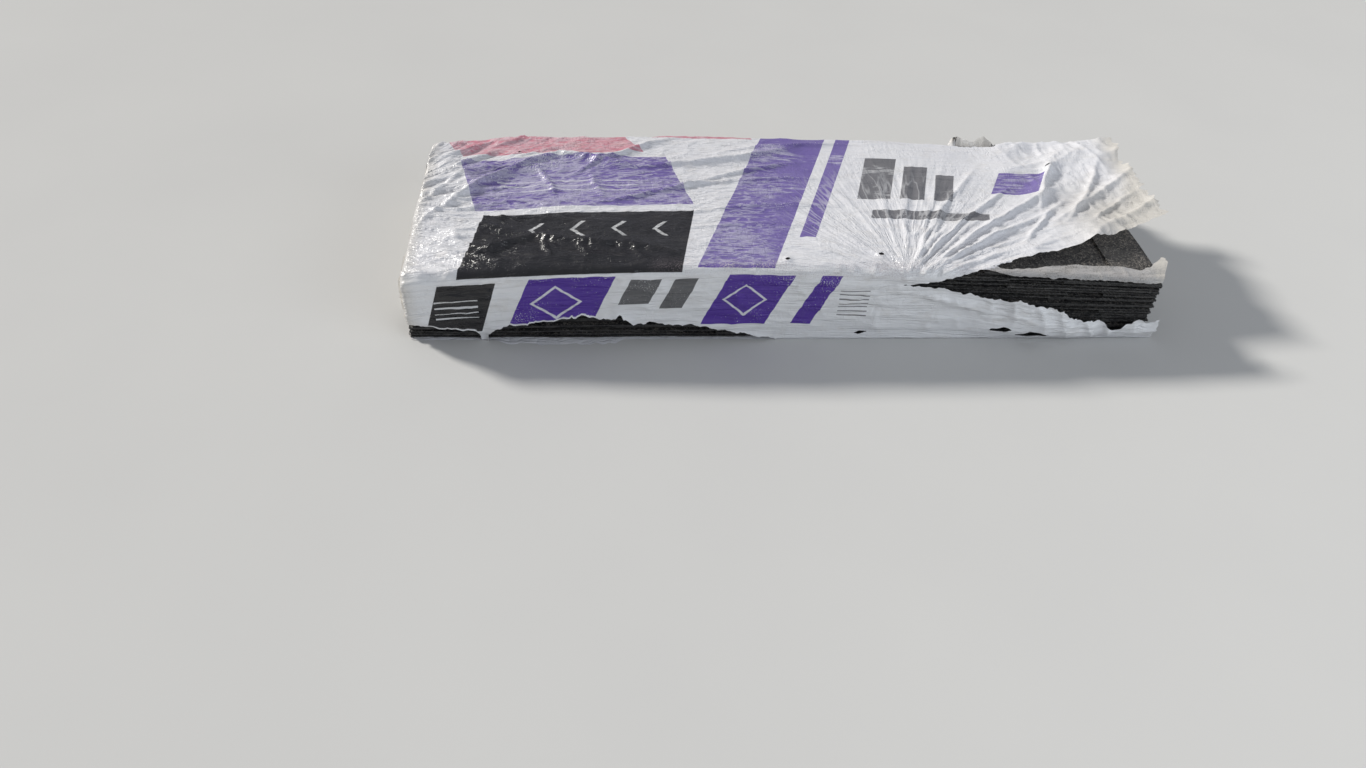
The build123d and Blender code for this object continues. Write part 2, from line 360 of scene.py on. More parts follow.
def outline(x, course):
    """Places on the sleeve's section, its outward directions and the distance round it from the ridge.

    course runs from 0 to 6: up the front, over the front ridge, across the top, over the back ridge,
    down the back, and under the stack to where it began.
    """
    inset = np.clip(SLEEVE_LEFT + END_ROUND - x, 0, END_ROUND)
    inset = END_ROUND - np.sqrt(END_ROUND**2 - inset**2)
    top, half = film_top(x) - inset, HALF - inset
    part = np.minimum(course.astype(int), 5)
    share = course - part
    turn = share * math.pi / 2
    rise, across = top - ROUND, 2 * half - 2 * ROUND
    low = np.minimum(inset, OVER_FLOOR)
    none, one = 0 * x, 1 + 0 * x
    cases = [part == k for k in range(6)]
    y = np.select(cases, [
        -half, -half + ROUND - ROUND * np.cos(turn), -half + ROUND + share * across,
        half - ROUND + ROUND * np.sin(turn), half, half - share * 2 * half])
    z = np.select(cases, [
        low + share * (rise - low), rise + ROUND * np.sin(turn), top, rise + ROUND * np.cos(turn),
        low + (1 - share) * (rise - low), low])
    ny = np.select(cases, [-one, -np.cos(turn), none, np.sin(turn), one, none])
    nz = np.select(cases, [none, np.sin(turn), one, np.cos(turn), none, -one])
    v = np.select(cases, [
        -ARC / 2 - (1 - share) * rise, (share - 0.5) * ARC, ARC / 2 + share * FLAT_TOP,
        ARC / 2 + FLAT_TOP + share * ARC, BACK_RIDGE + share * rise, BACK_RIDGE + rise + share * 2 * HALF])
    return y, z, ny, nz, v


# The tears. Those of the foot and corner are heights above the floor, and those of the mouth are
# distances round the sleeve from its front ridge. A strip forks off the flap's edge, stays on the
# stack's top front edge and ends in a tab.
FOOT_FROM, FOOT_TO = -0.4045, -0.0165
FOOT_TEAR = [
    (-0.411, 0.0), (-0.405, 0.0), (-0.402, 0.012), (-0.395, 0.018), (-0.381, 0.028), (-0.365, 0.031),
    (-0.330, 0.033), (-0.303, 0.038), (-0.280, 0.045), (-0.259, 0.036), (-0.228, 0.042), (-0.211, 0.031),
    (-0.154, 0.027), (-0.104, 0.023), (-0.083, 0.017), (-0.062, 0.011), (-0.030, 0.004), (-0.016, 0.0)]
CORNER_TO = -0.4115
CORNER_TEAR = [(-0.512, 0.027), (-0.480, 0.024), (-0.455, 0.019), (-0.416, 0.016), (-0.411, 0.0)]
CORNER_DEPTH, CORNER_HEIGHT = 0.070, 0.025
TIP = (0.142, -0.019)  # where the mouth begins
MOUTH_LOWER = [
    (0.150, -0.0195), (0.190, -0.021), (0.230, -0.030), (0.268, -0.034), (0.290, -0.029), (0.305, -0.031),
    (0.328, -0.037), (0.352, -0.040), (0.374, -0.046), (0.382, -0.054), (0.390, -0.060), (0.424, -0.066),
    (0.440, -0.076), (0.456, -0.072), (0.470, -0.064), (0.498, -0.059), (0.520, -0.060)]
MOUTH_UPPER = [
    (0.150, -0.0185), (0.186, -0.012), (0.220, -0.003), (0.246, 0.005), (0.290, 0.020), (0.548, 0.118)]
BAND_FROM = 0.240
BAND_EDGE = [
    (0.240, 0.006), (0.256, 0.0115), (0.262, 0.0108), (0.274, 0.0080), (0.290, 0.0085), (0.335, 0.016),
    (0.380, 0.023), (0.440, 0.026), (0.470, 0.020), (0.486, 0.023), (0.500, 0.033), (0.513, 0.047)]
BAND_FOOT = [(0.240, 0.0045), (0.256, 0.0048), (0.290, -0.003), (0.497, -0.003), (0.520, 0.048)]
HOLES = [  # along the sleeve, round it, half length, half width
    (0.115, 0.031, 0.0042, 0.0030), (0.420, 0.262, 0.0050, 0.0030), (0.290, -0.083, 0.0150, 0.0046),
    (0.334, -0.090, 0.0240, 0.0060), (0.098, -0.101, 0.0100, 0.0026), (-0.372, 0.296, 0.0045, 0.0022),
    (-0.012, 0.016, 0.0030, 0.0022)]
BACK_HOLE_X, BACK_HOLE_V = (0.300, 0.362), (0.334, 0.352)
SPLIT_FROM, SPLIT_WIDENS = FLAP_ROOT + 0.08, 0.055  # the split along the back of the flap
FAR_INSIDE = 0.05


def strays(seed, along, reach):
    """How far a torn edge strays: long scallops with small nicks and threads on them."""
    return (wander((seed, 0), along, 0.023, 0.8 * reach) + wander((seed, 1), along, 0.008, 0.9 * reach)
            + wander((seed, 2), along, 0.0034, 1.0 * reach))


def line_at(points, x):
    """How high a line through these points lies at x."""
    return np.interp(x, [p[0] for p in points], [p[1] for p in points])


def cap_place(y, z, shut):
    """Where a place on the sleeve's end ring goes as the end is folded shut: towards a level seam."""
    return y * (1 - SEAM_TUCK * shut), z + (SEAM_HEIGHT - z) * shut


def film_left(x, course, shut):
    """How far inside the film a place lies, in metres. It is below 0 where the film is torn away."""
    y, z, *_, v = outline(x, course)
    kept = np.full(len(x), FAR_INSIDE)
    # the foot of the front, then the front left corner, and the end beside it
    front = course < 1.5
    foot = line_at(FOOT_TEAR, x)
    foot_edge = foot + strays(1, x, 0.0020) * (foot > 0.003)
    kept = np.where((x > FOOT_FROM) & (x < FOOT_TO) & front, np.minimum(kept, z - foot_edge), kept)
    corner_edge = line_at(CORNER_TEAR, x) + strays(2, x, 0.0014)
    kept = np.where((x < CORNER_TO) & front & (shut == 0), np.minimum(kept, z - corner_edge), kept)
    cap_y, cap_z = cap_place(y, z, shut)
    end_edge = np.minimum(CORNER_HEIGHT - cap_z, -HALF + CORNER_DEPTH - cap_y) + strays(12, cap_y, 0.0016)
    kept = np.where(shut > 0, np.minimum(kept, -end_edge), kept)
    # the mouth, on both sides of the strip
    low = line_at(MOUTH_LOWER, x) + strays(3, x, 0.0022)
    high = line_at(MOUTH_UPPER, x) + strays(4, x, 0.0011)
    band_low = line_at(BAND_FOOT, x) + strays(5, x, 0.0009)
    band_high = line_at(BAND_EDGE, x) + strays(6, x, 0.0012)
    has_band = x > BAND_FROM
    below_band = np.minimum(v - low, np.where(has_band, band_low, high) - v)
    above_band = np.where(has_band, np.minimum(v - band_high, high - v), -1.0)
    mouth = np.minimum(np.maximum(below_band, above_band), (x - TIP[0]) * 0.6)
    kept = np.where((course < 2.99) & (x > TIP[0]), np.minimum(kept, -mouth), kept)
    # small holes, and the larger one in the back edge
    for at_x, at_v, half_x, half_v in HOLES:
        off_v = v - at_v - 0.35 * half_v * np.sin((x - at_x) / half_x * 2.4)
        away = np.abs((x - at_x) / half_x) ** 1.3 + np.abs(off_v / half_v) ** 1.3
        kept = np.minimum(kept, (away - 1) * half_v + strays(14, x, 0.0007))
    in_x = np.minimum(x - BACK_HOLE_X[0], BACK_HOLE_X[1] - x)
    in_v = np.minimum(v - BACK_HOLE_V[0], BACK_HOLE_V[1] - v)
    back_hole = np.minimum(in_x, in_v) + strays(13, x, 0.0012)
    kept = np.where(course > 1.5, np.minimum(kept, -back_hole), kept)
    # the open right end, where the flap reaches further than the rest
    flap = (course > 2) & (v > line_at(BAND_EDGE, x) + 0.002) & (v < BACK_RIDGE - 0.003)
    right = np.where(flap, FLAP_END - 0.006, SLEEVE_RIGHT - 0.004)
    right = right + np.where(course < 5, strays(8, v, 0.0042), strays(9, v, 0.003))
    kept = np.minimum(kept, right - x)
    # the split along the back of the flap
    from_split = np.abs(v - (BACK_RIDGE - 0.006 + wander(10, x, 0.04, 0.003)))
    back_split = from_split + strays(11, x, 0.0009) - SPLIT_WIDENS * np.clip(x - SPLIT_FROM, 0, 1)
    return np.where((x > SPLIT_FROM) & (course > 2.5), np.minimum(kept, back_split), kept)


def cloud(seed, u, w):
    """A smooth field that strays at random between -1 and 1, one knot to a unit."""
    knots = np.random.default_rng(seed).uniform(-1, 1, (64, 64))
    i, k = np.floor(u).astype(int), np.floor(w).astype(int)
    a, b = u - i, w - k
    a, b = a * a * (3 - 2 * a), b * b * (3 - 2 * b)
    i, k, j, m = i % 64, k % 64, (i + 1) % 64, (k + 1) % 64
    near, far = knots[i, k] * (1 - a) + knots[j, k] * a, knots[i, m] * (1 - a) + knots[j, m] * a
    return near * (1 - b) + far * b


def crest(seed, u, w, sharp):
    """Thin branching ridges between shallow troughs, from 0 to 1."""
    return (1 - np.abs(cloud(seed, u, w))) ** sharp


def fade(value, low, high):
    """0 at low and 1 at high, or the other way round where low is the larger."""
    share = np.clip((value - low) / (high - low), 0, 1)
    return share * share * (3 - 2 * share)


# Folds that were laid in the film one by one: where each starts and ends, along the sleeve and round it,
# then its half width, its height and its bow.
FOLDS = [
    # loose folds over the back of the left half
    (-0.455, 0.175, -0.300, 0.288, 0.01, 0.015, 1), (-0.315, 0.286, -0.210, 0.243, 0.009, 0.014, 0.6),
    (-0.220, 0.245, 0.020, 0.300, 0.009, 0.01, -0.9), (-0.290, 0.235, -0.150, 0.328, 0.008, 0.0085, 0.5),
    (-0.345, 0.250, -0.318, 0.180, 0.006, 0.005, 0.5), (-0.270, 0.235, -0.250, 0.170, 0.006, 0.004, -0.5),
    (-0.250, 0.155, -0.090, 0.214, 0.006, 0.0068, -0.4), (-0.100, 0.212, 0.030, 0.262, 0.006, 0.0062, 0.4),
    (-0.200, 0.180, 0.070, 0.222, 0.005, 0.005, 0.5), (-0.160, 0.120, 0.060, 0.150, 0.005, 0.0038, 0.5),
    (-0.180, 0.085, 0.050, 0.100, 0.005, 0.0032, 0.4), (-0.080, 0.290, 0.120, 0.325, 0.006, 0.005, 0.4),
    # slack behind the front ridge, over the dark panel
    (-0.415, 0.040, -0.340, 0.074, 0.008, 0.0125, 0.3), (-0.345, 0.074, -0.295, 0.058, 0.008, 0.012, 0.4),
    (-0.300, 0.060, -0.240, 0.051, 0.008, 0.013, -0.5), (-0.245, 0.052, -0.150, 0.022, 0.008, 0.012, 0.4),
    (-0.420, 0.014, -0.180, 0.018, 0.012, 0.0065, 0.4), (-0.330, 0.066, -0.318, 0.020, 0.005, 0.0046, 0.3),
    (-0.285, 0.055, -0.262, 0.014, 0.005, 0.0034, -0.4), (-0.215, 0.044, -0.195, 0.010, 0.005, 0.003, 0.3),
    # drawn in towards the closed left end
    (-0.505, 0.165, -0.440, 0.254, 0.006, 0.005, 0.4), (-0.497, 0.117, -0.432, 0.206, 0.006, 0.005, 0.3),
    (-0.492, 0.069, -0.420, 0.084, 0.005, 0.0035, 0.3), (-0.505, 0.285, -0.430, 0.318, 0.007, 0.006, -0.4),
    (-0.500, 0.225, -0.440, 0.282, 0.006, 0.005, -0.4), (-0.490, 0.335, -0.300, 0.338, 0.005, 0.004, 0.2),
    # rays from the tip of the long tear
    (0.155, 0.000, 0.350, 0.212, 0.0055, 0.006, 0.5), (0.165, -0.006, 0.410, 0.205, 0.006, 0.007, 0.4),
    (0.170, -0.010, 0.395, 0.150, 0.0055, 0.006, 0.5), (0.180, -0.010, 0.300, 0.045, 0.005, 0.005, 0.3),
    (0.150, 0.004, 0.232, 0.110, 0.0045, 0.0045, 0.4), (0.150, 0.004, 0.300, 0.250, 0.005, 0.0045, 0.4),
    (0.146, 0.006, 0.215, 0.270, 0.005, 0.0026, 0.4), (0.142, 0.008, 0.150, 0.200, 0.0045, 0.0019, 0.2),
    (0.138, 0.006, 0.080, 0.200, 0.0045, 0.0017, -0.3), (0.134, 0.004, 0.000, 0.150, 0.0045, 0.0018, -0.4),
    (0.130, 0.002, -0.060, 0.110, 0.0045, 0.0018, -0.4), (0.128, 0.000, -0.020, 0.055, 0.004, 0.0028, -0.4),
    # across the flap
    (0.380, 0.160, 0.440, 0.290, 0.007, 0.006, 0.6), (0.410, 0.130, 0.500, 0.270, 0.007, 0.007, -0.6),
    (0.330, 0.075, 0.420, 0.180, 0.006, 0.006, 0.4), (0.440, 0.120, 0.530, 0.190, 0.006, 0.006, 0.5),
    # along the front, and down it below the mouth
    (0.136, -0.024, 0.050, -0.052, 0.004, 0.003, 0.3), (0.130, -0.020, 0.010, -0.034, 0.0045, 0.0026, -0.3),
    (0.150, -0.032, 0.290, -0.068, 0.005, 0.004, 0.3), (0.180, -0.034, 0.270, -0.050, 0.004, 0.0034, -0.3),
    (0.230, -0.050, 0.400, -0.086, 0.006, 0.0048, 0.4), (0.020, -0.080, 0.230, -0.072, 0.006, 0.003, 0.5),
    (0.330, -0.036, 0.352, -0.094, 0.009, 0.0105, 0.5), (0.366, -0.046, 0.384, -0.094, 0.007, 0.0085, -0.4),
    (0.296, -0.034, 0.304, -0.076, 0.006, 0.005, 0.4), (0.404, -0.062, 0.424, -0.096, 0.006, 0.006, 0.4),
    (0.440, -0.074, 0.452, -0.098, 0.005, 0.005, -0.4), (-0.120, -0.030, 0.080, -0.020, 0.006, 0.0026, 0.5),
    (-0.480, -0.020, -0.330, -0.034, 0.005, 0.0034, -0.4),
    (-0.490, -0.055, -0.360, -0.046, 0.005, 0.003, 0.4),
    (-0.320, -0.012, -0.140, -0.022, 0.005, 0.0026, -0.4)]


def folds(x, v):
    """The height of the folds that were laid one by one."""
    total = np.zeros(len(x))
    for start_x, start_v, end_x, end_v, width, high, bow in FOLDS:
        dx, dv = end_x - start_x, end_v - start_v
        half, turn = math.hypot(dx, dv) / 2, math.atan2(dv, dx)
        cx, cv = (start_x + end_x) / 2, (start_v + end_v) / 2
        near = (np.abs(x - cx) < half * 1.6 + 0.04) & (np.abs(v - cv) < half * 1.6 + 0.04)
        px, pv = x[near] - cx, v[near] - cv
        along = (px * math.cos(turn) + pv * math.sin(turn)) / half
        off = -px * math.sin(turn) + pv * math.cos(turn) - bow * half * 0.12 * (1 - along**2)
        off = off + 0.0022 * cloud(int(1000 * width + 9000 * high), along * 5 + 7, along * 2 + 3)
        spread = width * (0.5 + 0.5 * np.clip(along + 1, 0, 2) / 2)
        gentle = 1 / (1 + (off / spread) ** 2) ** 1.4
        steep = np.exp(-np.abs(off) / (spread * 0.75))
        total[near] += high * np.where(off > 0, gentle, steep) * np.exp(-(along**4) * 1.2)
    return total


def wrinkles(x, v):
    """The height of the creased film over its smooth form, in metres."""
    upper = fade(v, 0.0, 0.012)
    # a fan spreads from the tear's tip, mostly towards the flap
    r, turn = np.hypot(x - TIP[0], v - TIP[1]), np.arctan2(v - TIP[1], x - TIP[0])
    stretch = np.log(r / 0.02 + 0.3)
    fan_reach = fade(r, 0.006, 0.07) * fade(r, 0.36, 0.16) * upper
    towards_flap = fade(turn, 0.0, 0.35) * fade(turn, 1.9, 1.0)
    fan = fan_reach * (0.0032 * crest(31, turn * 9.0, stretch * 1.5, 5) * (0.35 + 0.65 * towards_flap)
                       + 0.0014 * crest(32, turn * 19.0, stretch * 1.8, 4) * (0.4 + 0.6 * towards_flap))
    # rays and slack come from the closed left end
    lr, lt = np.hypot(x + 0.66, v - 0.155), np.arctan2(v - 0.155, x + 0.66)
    left_reach = fade(x, -0.16, -0.46) * upper
    left = left_reach * (0.0052 * crest(33, lt * 15, lr * 11, 4)
                         + 0.0022 * crest(34, lt * 32 + 5, lr * 16, 3))
    slack = np.clip(cloud(41, x / 0.05, v / 0.045) + 0.3, 0, 1)
    left = left + 0.0040 * fade(x, -0.38, -0.49) * slack * upper
    # fine crepe climbs to the right over the left half, and level creases and slack lie all over the top
    cu, cw = x * math.cos(0.45) + v * math.sin(0.45), -x * math.sin(0.45) + v * math.cos(0.45)
    crepe = 0.0011 * crest(35, cu / 0.040, cw / 0.0085, 3) * fade(x, 0.02, -0.12) * upper
    level = 0.0010 * crest(36, x / 0.060, v / 0.0100 + 3, 3) * upper
    loose = 0.0030 * np.clip(cloud(37, x / 0.085, v / 0.050), 0, 1) * upper
    # the front is drawn tight, and its creases run along it or slant
    front = fade(v, 0.002, -0.006) * fade(v, -0.100, -0.088)
    taut = front * (0.0023 * crest(38, x / 0.075, v / 0.0095, 4)
                    + 0.0016 * crest(39, x / 0.14 + 2, v / 0.020, 3)
                    + 0.0017 * crest(46, (x + 0.9 * v) / 0.045, (v - 0.3 * x) / 0.014, 4))
    # the front ridge and the back are rumpled
    ridge = 0.0020 * np.exp(-((v - 0.002) / 0.012) ** 2) * crest(40, x / 0.022, v / 0.020, 2)
    back = fade(v, 0.330, 0.345) * (0.0022 * crest(42, x / 0.060, v / 0.018, 3))
    return fan + left + crepe + level + loose + taut + ridge + back + folds(x, v)


# The film is a grid of cells: columns along the sleeve, which go on round its closed end, and rows round
# it. Cells outside the tears are left out, and those that a tear crosses are cut along it.
COLUMN_STEP, CAP_COLUMNS, ROUND_COLUMNS = 0.00262, 21, 5
COURSE_ROWS = [41, 5, 128, 5, 19, 11]
cap_steps = np.linspace(0, 1, CAP_COLUMNS + 1)[:0:-1]
sleeve_start = SLEEVE_LEFT + END_ROUND
columns_x = np.concatenate([
    np.full(CAP_COLUMNS, SLEEVE_LEFT), np.linspace(SLEEVE_LEFT, sleeve_start, ROUND_COLUMNS + 1)[:-1],
    np.arange(sleeve_start, FLAP_END + 0.006, COLUMN_STEP)])
columns_shut = np.concatenate([cap_steps, np.zeros(len(columns_x) - CAP_COLUMNS)])
courses = [np.linspace(k, k + 1, rows, endpoint=False) for k, rows in enumerate(COURSE_ROWS)]
courses = np.concatenate([*courses, [len(COURSE_ROWS)]])
rows_n, columns_n = len(courses), len(columns_x)
grid_column, grid_course = np.meshgrid(np.arange(columns_n, dtype=float), courses, indexing="ij")
point_column, point_course = grid_column.ravel(), grid_course.ravel()


def along_columns(column, values):
    """A value between those of the columns."""
    return np.interp(column, np.arange(columns_n), values)


left = film_left(along_columns(point_column, columns_x), point_course,
                 along_columns(point_column, columns_shut))
index = np.arange(columns_n * rows_n).reshape(columns_n, rows_n)
quads = np.stack([index[:-1, :-1], index[1:, :-1], index[1:, 1:], index[:-1, 1:]], -1).reshape(-1, 4)
whole = (left[quads] > 0).all(1)
crossed = (left[quads] > 0).any(1) & ~whole
faces = [tuple(q) for q in quads[whole]]
new_column, new_course, cut_of = [], [], {}
for quad in quads[crossed]:
    polygon = []
    for a, b in zip(quad, np.roll(quad, -1)):
        if left[a] > 0:
            polygon.append(int(a))
        if (left[a] > 0) != (left[b] > 0):
            key = (min(a, b), max(a, b))
            if key not in cut_of:
                share = left[a] / (left[a] - left[b])
                cut_of[key] = len(point_column) + len(new_column)
                new_column.append(point_column[a] + share * (point_column[b] - point_column[a]))
                new_course.append(point_course[a] + share * (point_course[b] - point_course[a]))
            polygon.append(cut_of[key])
    if len(polygon) > 2:
        faces.append(tuple(polygon))
all_column = np.concatenate([point_column, new_column])
course = np.concatenate([point_course, new_course])
flat_x = along_columns(all_column, columns_x)
shut = along_columns(all_column, columns_shut)
y, z, ny, nz, v = outline(flat_x, course)
x = flat_x.copy()

# The height of all folds and creases, held under a limit. It dies out at the foot and on the underside,
# and the film puckers round each hole.
FOLD_LIMIT = 0.018
creased = FOLD_LIMIT * np.tanh(wrinkles(x, v) / FOLD_LIMIT)
creased = creased * fade(z, 0.001, 0.016) * (course < 5) * fade(shut, 1.0, 0.3)
for at_x, at_v, half_x, half_v in HOLES:
    around = ((x - at_x) / (2.2 * half_x)) ** 2 + ((v - at_v) / (3.0 * half_v)) ** 2
    creased = creased + 0.0028 * np.exp(-around) * (z > 0.02)

# The flap has lifted over the right end and is crumpled. Its front edge lifts further.
on_flap = (course > 1.4) & (course < 3.6) & (x > FLAP_ROOT) & (v > line_at(BAND_EDGE, x) + 0.004)
out = np.clip(x - FLAP_ROOT, 0, None)
flap_length = FLAP_END - FLAP_ROOT
arch_radius = ((ARCH_REACH - CREST_X) ** 2 + TOP_ARCH**2) / (2 * TOP_ARCH)
slope = -(FLAP_ROOT - CREST_X) / arch_radius
root_height = film_top(np.array(FLAP_ROOT))
end_rise = FLAP_RISE_FRONT + (FLAP_RISE_BACK - FLAP_RISE_FRONT) * (y + HALF) / (2 * HALF)
bend = (FILM_TOP + end_rise - root_height - slope * flap_length) / flap_length**2
flap_z = root_height + slope * out + bend * out**2
z = np.where(on_flap, np.where(course > 3, flap_z - (film_top(x) - z), flap_z), z)
across_folds, along_folds = (v - 0.75 * x) / 0.045, (x + 0.75 * v) / 0.130
crumple = (0.0105 * crest(51, along_folds, across_folds, 2) - 0.0050
           + 0.0032 * crest(52, (x + 0.3 * v) / 0.030, v / 0.040, 4)
           + 0.0070 * cloud(53, x / 0.06, v / 0.09) + 0.0015 * crest(54, x / 0.012, v / 0.020, 3))
z = z + np.where(on_flap, crumple * fade(out, 0.01, 0.15) * 0.9, 0)
past_tear = v - line_at(MOUTH_UPPER, x)
edge_lift = fade(past_tear, 0.055, 0.0) * fade(x, 0.235, 0.330) * fade(past_tear, -0.007, -0.001)
z = z + np.where((course > 1.4) & (course < 3) & (x > 0.2), 0.0075 * edge_lift, 0)

# The lower lip of the mouth leans away from the stack, bulges, and turns out along its torn edge.
on_lip = (course < 1.01) & (x > 0.150)
lip_z = np.maximum(film_top(x) + line_at(MOUTH_LOWER, x), 0.012)
up_lip = z / lip_z
lean = 0.0040 * fade(x, 0.18, 0.33) * np.clip(up_lip, 0, 1.3) ** 1.6
bulge = 0.0105 * fade(x, 0.24, 0.36) * fade(x, 0.44, 0.39) * np.sin(math.pi * np.clip(up_lip, 0, 1) ** 0.8)
end_bulge = 0.0050 * fade(x, 0.40, 0.47) * np.sin(math.pi * np.clip(z / 0.034, 0, 1))
y = y - np.where(on_lip, lean * (1 + 0.60 * cloud(61, x / 0.026, z / 0.05)) + bulge + end_bulge, 0)
z = z + np.where(on_lip, 0.8 * lean * cloud(62, x / 0.016, z / 0.03), 0)
turned_out = fade(z / lip_z, 0.55, 1.05) * fade(x, 0.22, 0.30) * fade(x, 0.43, 0.37)
y = y - np.where(on_lip, 0.0030 * turned_out, 0)
z = z - np.where(on_lip, 0.0045 * turned_out, 0)
lip_folds = (0.0042 * crest(68, (x + 0.8 * z) / 0.030, (z - 0.5 * x) / 0.022, 3)
             + 0.0016 * crest(69, (x - z) / 0.014, z / 0.012, 3))
y = y - np.where(on_lip, fade(x, 0.20, 0.30) * fade(z, 0.0, 0.02) * lip_folds, 0)

# The strip stays on the stack's top front edge, and its tab stands up from a crease.
band_limit = np.minimum(line_at(BAND_EDGE, x) + 0.003, line_at(MOUTH_UPPER, x) - 0.002)
on_band = (v > -0.006) & (v < band_limit) & (x > 0.252)
creased = np.where(on_band, 0.0014 * crest(63, x / 0.020, (v + 0.3 * x) / 0.030, 3), creased)
tab = np.clip((x - 0.478) / 0.034, 0, 1) * np.clip((v + 0.004) / 0.030, 0, 1)
tab_crease = np.exp(-np.abs(v - 0.012) / 0.0022) * fade(x, 0.476, 0.492)
z = z + np.where(on_band, 0.011 * tab + 0.0012 - 0.0030 * tab_crease, 0)

# The film curls up beside the hole in its back edge.
SCRAP = [(0.285, 0), (0.296, 0.75), (0.304, 0.95), (0.322, 0.72), (0.331, 0.60), (0.349, 1.0),
         (0.362, 0.70), (0.377, 0)]
curled = (x > 0.285) & (x < 0.377) & (v > 0.350) & (course < 5)
scrap_height = line_at(SCRAP, x) * (1 + 60 * strays(15, x, 0.0012))
up = np.where(curled, scrap_height * fade(v, 0.392, 0.352), 0)
z = z + 0.023 * up
y = y + 0.007 * up * (1 + cloud(64, x / 0.012, v / 0.02))

# The torn edge over the foot flutters, and a scrap of the underside shows below it.
over_foot = (x > -0.404) & (x < -0.017) & (course < 1)
flutter = np.where(over_foot, np.exp(-np.clip(z - line_at(FOOT_TEAR, x), 0, 1) / 0.008), 0)
y = y - flutter * 0.0022 * (1 + cloud(65, x / 0.011, z / 0.05))
under_foot = (course > 5) & (x > -0.400) & (x < -0.222)
scrap_reach = fade(course, 5.9, 6.0) * fade(x, -0.400, -0.370) * fade(x, -0.222, -0.240)
scrap_reach = scrap_reach * (1 + 0.4 * cloud(66, x / 0.009, x / 0.05))
y = y - np.where(under_foot, 0.011 * scrap_reach, 0)

# The left end is folded like a parcel, with side tucks under a level seam.
y, z = cap_place(y, z, shut)
x = x - 0.0035 * np.sin(math.pi * shut) - 0.009 * fade(shut, 0.86, 1.0)
round_seam = np.arctan2(z - SEAM_HEIGHT, y * 0.35)
tucks = crest(67, round_seam * 7, shut * 2 + 4, 3) * np.sin(math.pi * np.clip(shut * 0.9 + 0.1, 0, 1))
x = x - 0.0050 * tucks * (shut > 0) * (0.5 + 0.5 * fade(shut, 0.0, 0.3))

# The folds are raised outwards, and the front stays within a limit.
FRONT_LIMIT = 0.0195
y = y + ny * creased * (shut == 0)
z = z + nz * creased * (shut == 0)
y = np.maximum(y, -HALF - FRONT_LIMIT * np.tanh((-HALF - y) / FRONT_LIMIT))
places = np.stack([x, y, z], -1)

# The grid closes at the foot of the front, where its last row meets its first.
welded = np.arange(len(places))
for first, last in index[:, [0, -1]]:
    if left[first] > 0 and left[last] > 0:
        welded[last] = first
corner_ids = np.concatenate([np.array(face) for face in faces])
used = np.unique(welded[corner_ids])
renumber = np.full(len(places), -1)
renumber[used] = np.arange(len(used))
wrapper_mesh = bpy.data.meshes.new("film_wrapper")
corners = [[int(renumber[welded[i]]) for i in face] for face in faces]
wrapper_mesh.from_pydata(places[used].tolist(), [], corners)
uv = wrapper_mesh.uv_layers.new(name="film")
uv.data.foreach_set("uv", np.stack([flat_x - 0.03 * shut, v], -1)[corner_ids].ravel())


def paint(name, values):
    """Stores one number for each vertex, for the material to read."""
    layer = wrapper_mesh.attributes.new(name, "FLOAT", "POINT")
    layer.data.foreach_set("value", np.clip(values, 0, 1)[used])


at_tab = fade(x, 0.470, 0.500)
at_tear = 1 - np.clip(film_left(flat_x, course, shut), 0, 1) / 0.0032
# Painted glow: the flap's far corner, the folded left end, the curled scrap and the tab are laid in cream
# as if lit through or warmly lit. The same number sets how much light passes through the film.
thin_flap_painted_glow = on_flap * fade(x, 0.36, 0.50) * fade(v, 0.26, 0.12) + on_flap * fade(x, 0.50, 0.545)
paint("rub", creased / 0.005)
# the strip is made greyer, less so on its tab
paint("dust", on_band * (1 - 0.75 * at_tab))
paint("frayed", at_tear * (flat_x < FLAP_ROOT + 0.16) * (v < 0.02) * (shut == 0))
paint("thin", thin_flap_painted_glow + (shut > 0) * 0.5 + fade(x, -0.485, -0.505) * 0.5 + up + on_band * at_tab)
wrapper_mesh.polygons.foreach_set("use_smooth", [True] * len(wrapper_mesh.polygons))
film = bpy.data.objects.new("film_wrapper", wrapper_mesh)
bpy.context.scene.collection.objects.link(film)
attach(film, "root")
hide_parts("wrapper")

# Print: fields of purple, charcoal and red with slanted ends, plain bars, roof chevrons, diamonds and
# thin lines. It is worn through in specks where the film rubs on the granules below, cracked along the
# creases, paler over the top in patches and dusty.
PURPLE, CHARCOAL, RED = (0.082, 0.030, 0.330, 1), (0.013, 0.013, 0.016, 1), (0.62, 0.060, 0.12, 1)
WHITE, GREY_INK = (0.84, 0.85, 0.875, 1), (0.050, 0.050, 0.054, 1)
# the first colour of this row is laid paler over the top, in patches
TOP_PALE, DIRT, RUBBED = (0.64, 0.62, 0.76, 1), (0.50, 0.44, 0.36, 1), (0.42, 0.34, 0.37, 1)
# the cream of this row is a painted glow, for thin film lit through and a warmly lit left end
PAINTED_GLOW_CREAM, STRIP_GREY, BAND_GRIT = (0.84, 0.79, 0.69, 1), (0.30, 0.285, 0.27, 1), (0.05, 0.047, 0.045, 1)
